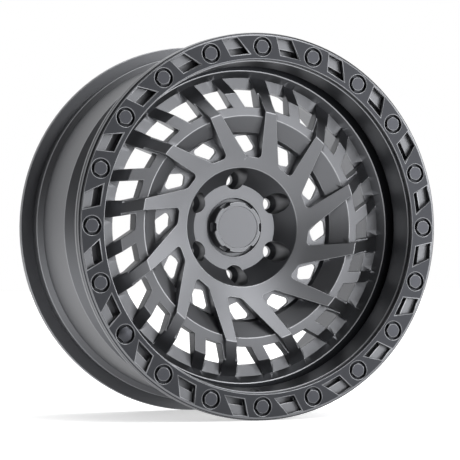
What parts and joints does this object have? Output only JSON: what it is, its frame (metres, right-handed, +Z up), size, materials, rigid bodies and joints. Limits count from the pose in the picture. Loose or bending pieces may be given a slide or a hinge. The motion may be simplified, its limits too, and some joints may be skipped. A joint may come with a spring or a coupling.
{
  "type": "forged wheel",
  "caption": "Forged road wheel with swirled two-level spokes, a bolted outer ring with cut windows, a deep lip and a notched centre cap over the lug holes.",
  "frame": {"origin": "centre of the hub mounting face, on the wheel axis", "axes": "+Y along the wheel axis from the face of the wheel to the vehicle, +Z up, valve hole at the bottom"},
  "size_m": [0.5474, 0.2715, 0.5473],
  "materials": {
    "forging": "satin gunmetal lacquer",
    "ring": "satin anthracite lacquer",
    "bolts": "dark zinc coating",
    "cap": "satin gunmetal lacquer",
    "plate": "satin gunmetal lacquer"
  },
  "bodies": {
    "root": {"wheel": "forging", "outer_ring": "ring", "ring_bolts": "bolts", "centre_cap": "cap", "cap_disc": "plate"}
  },
  "joints": []
}
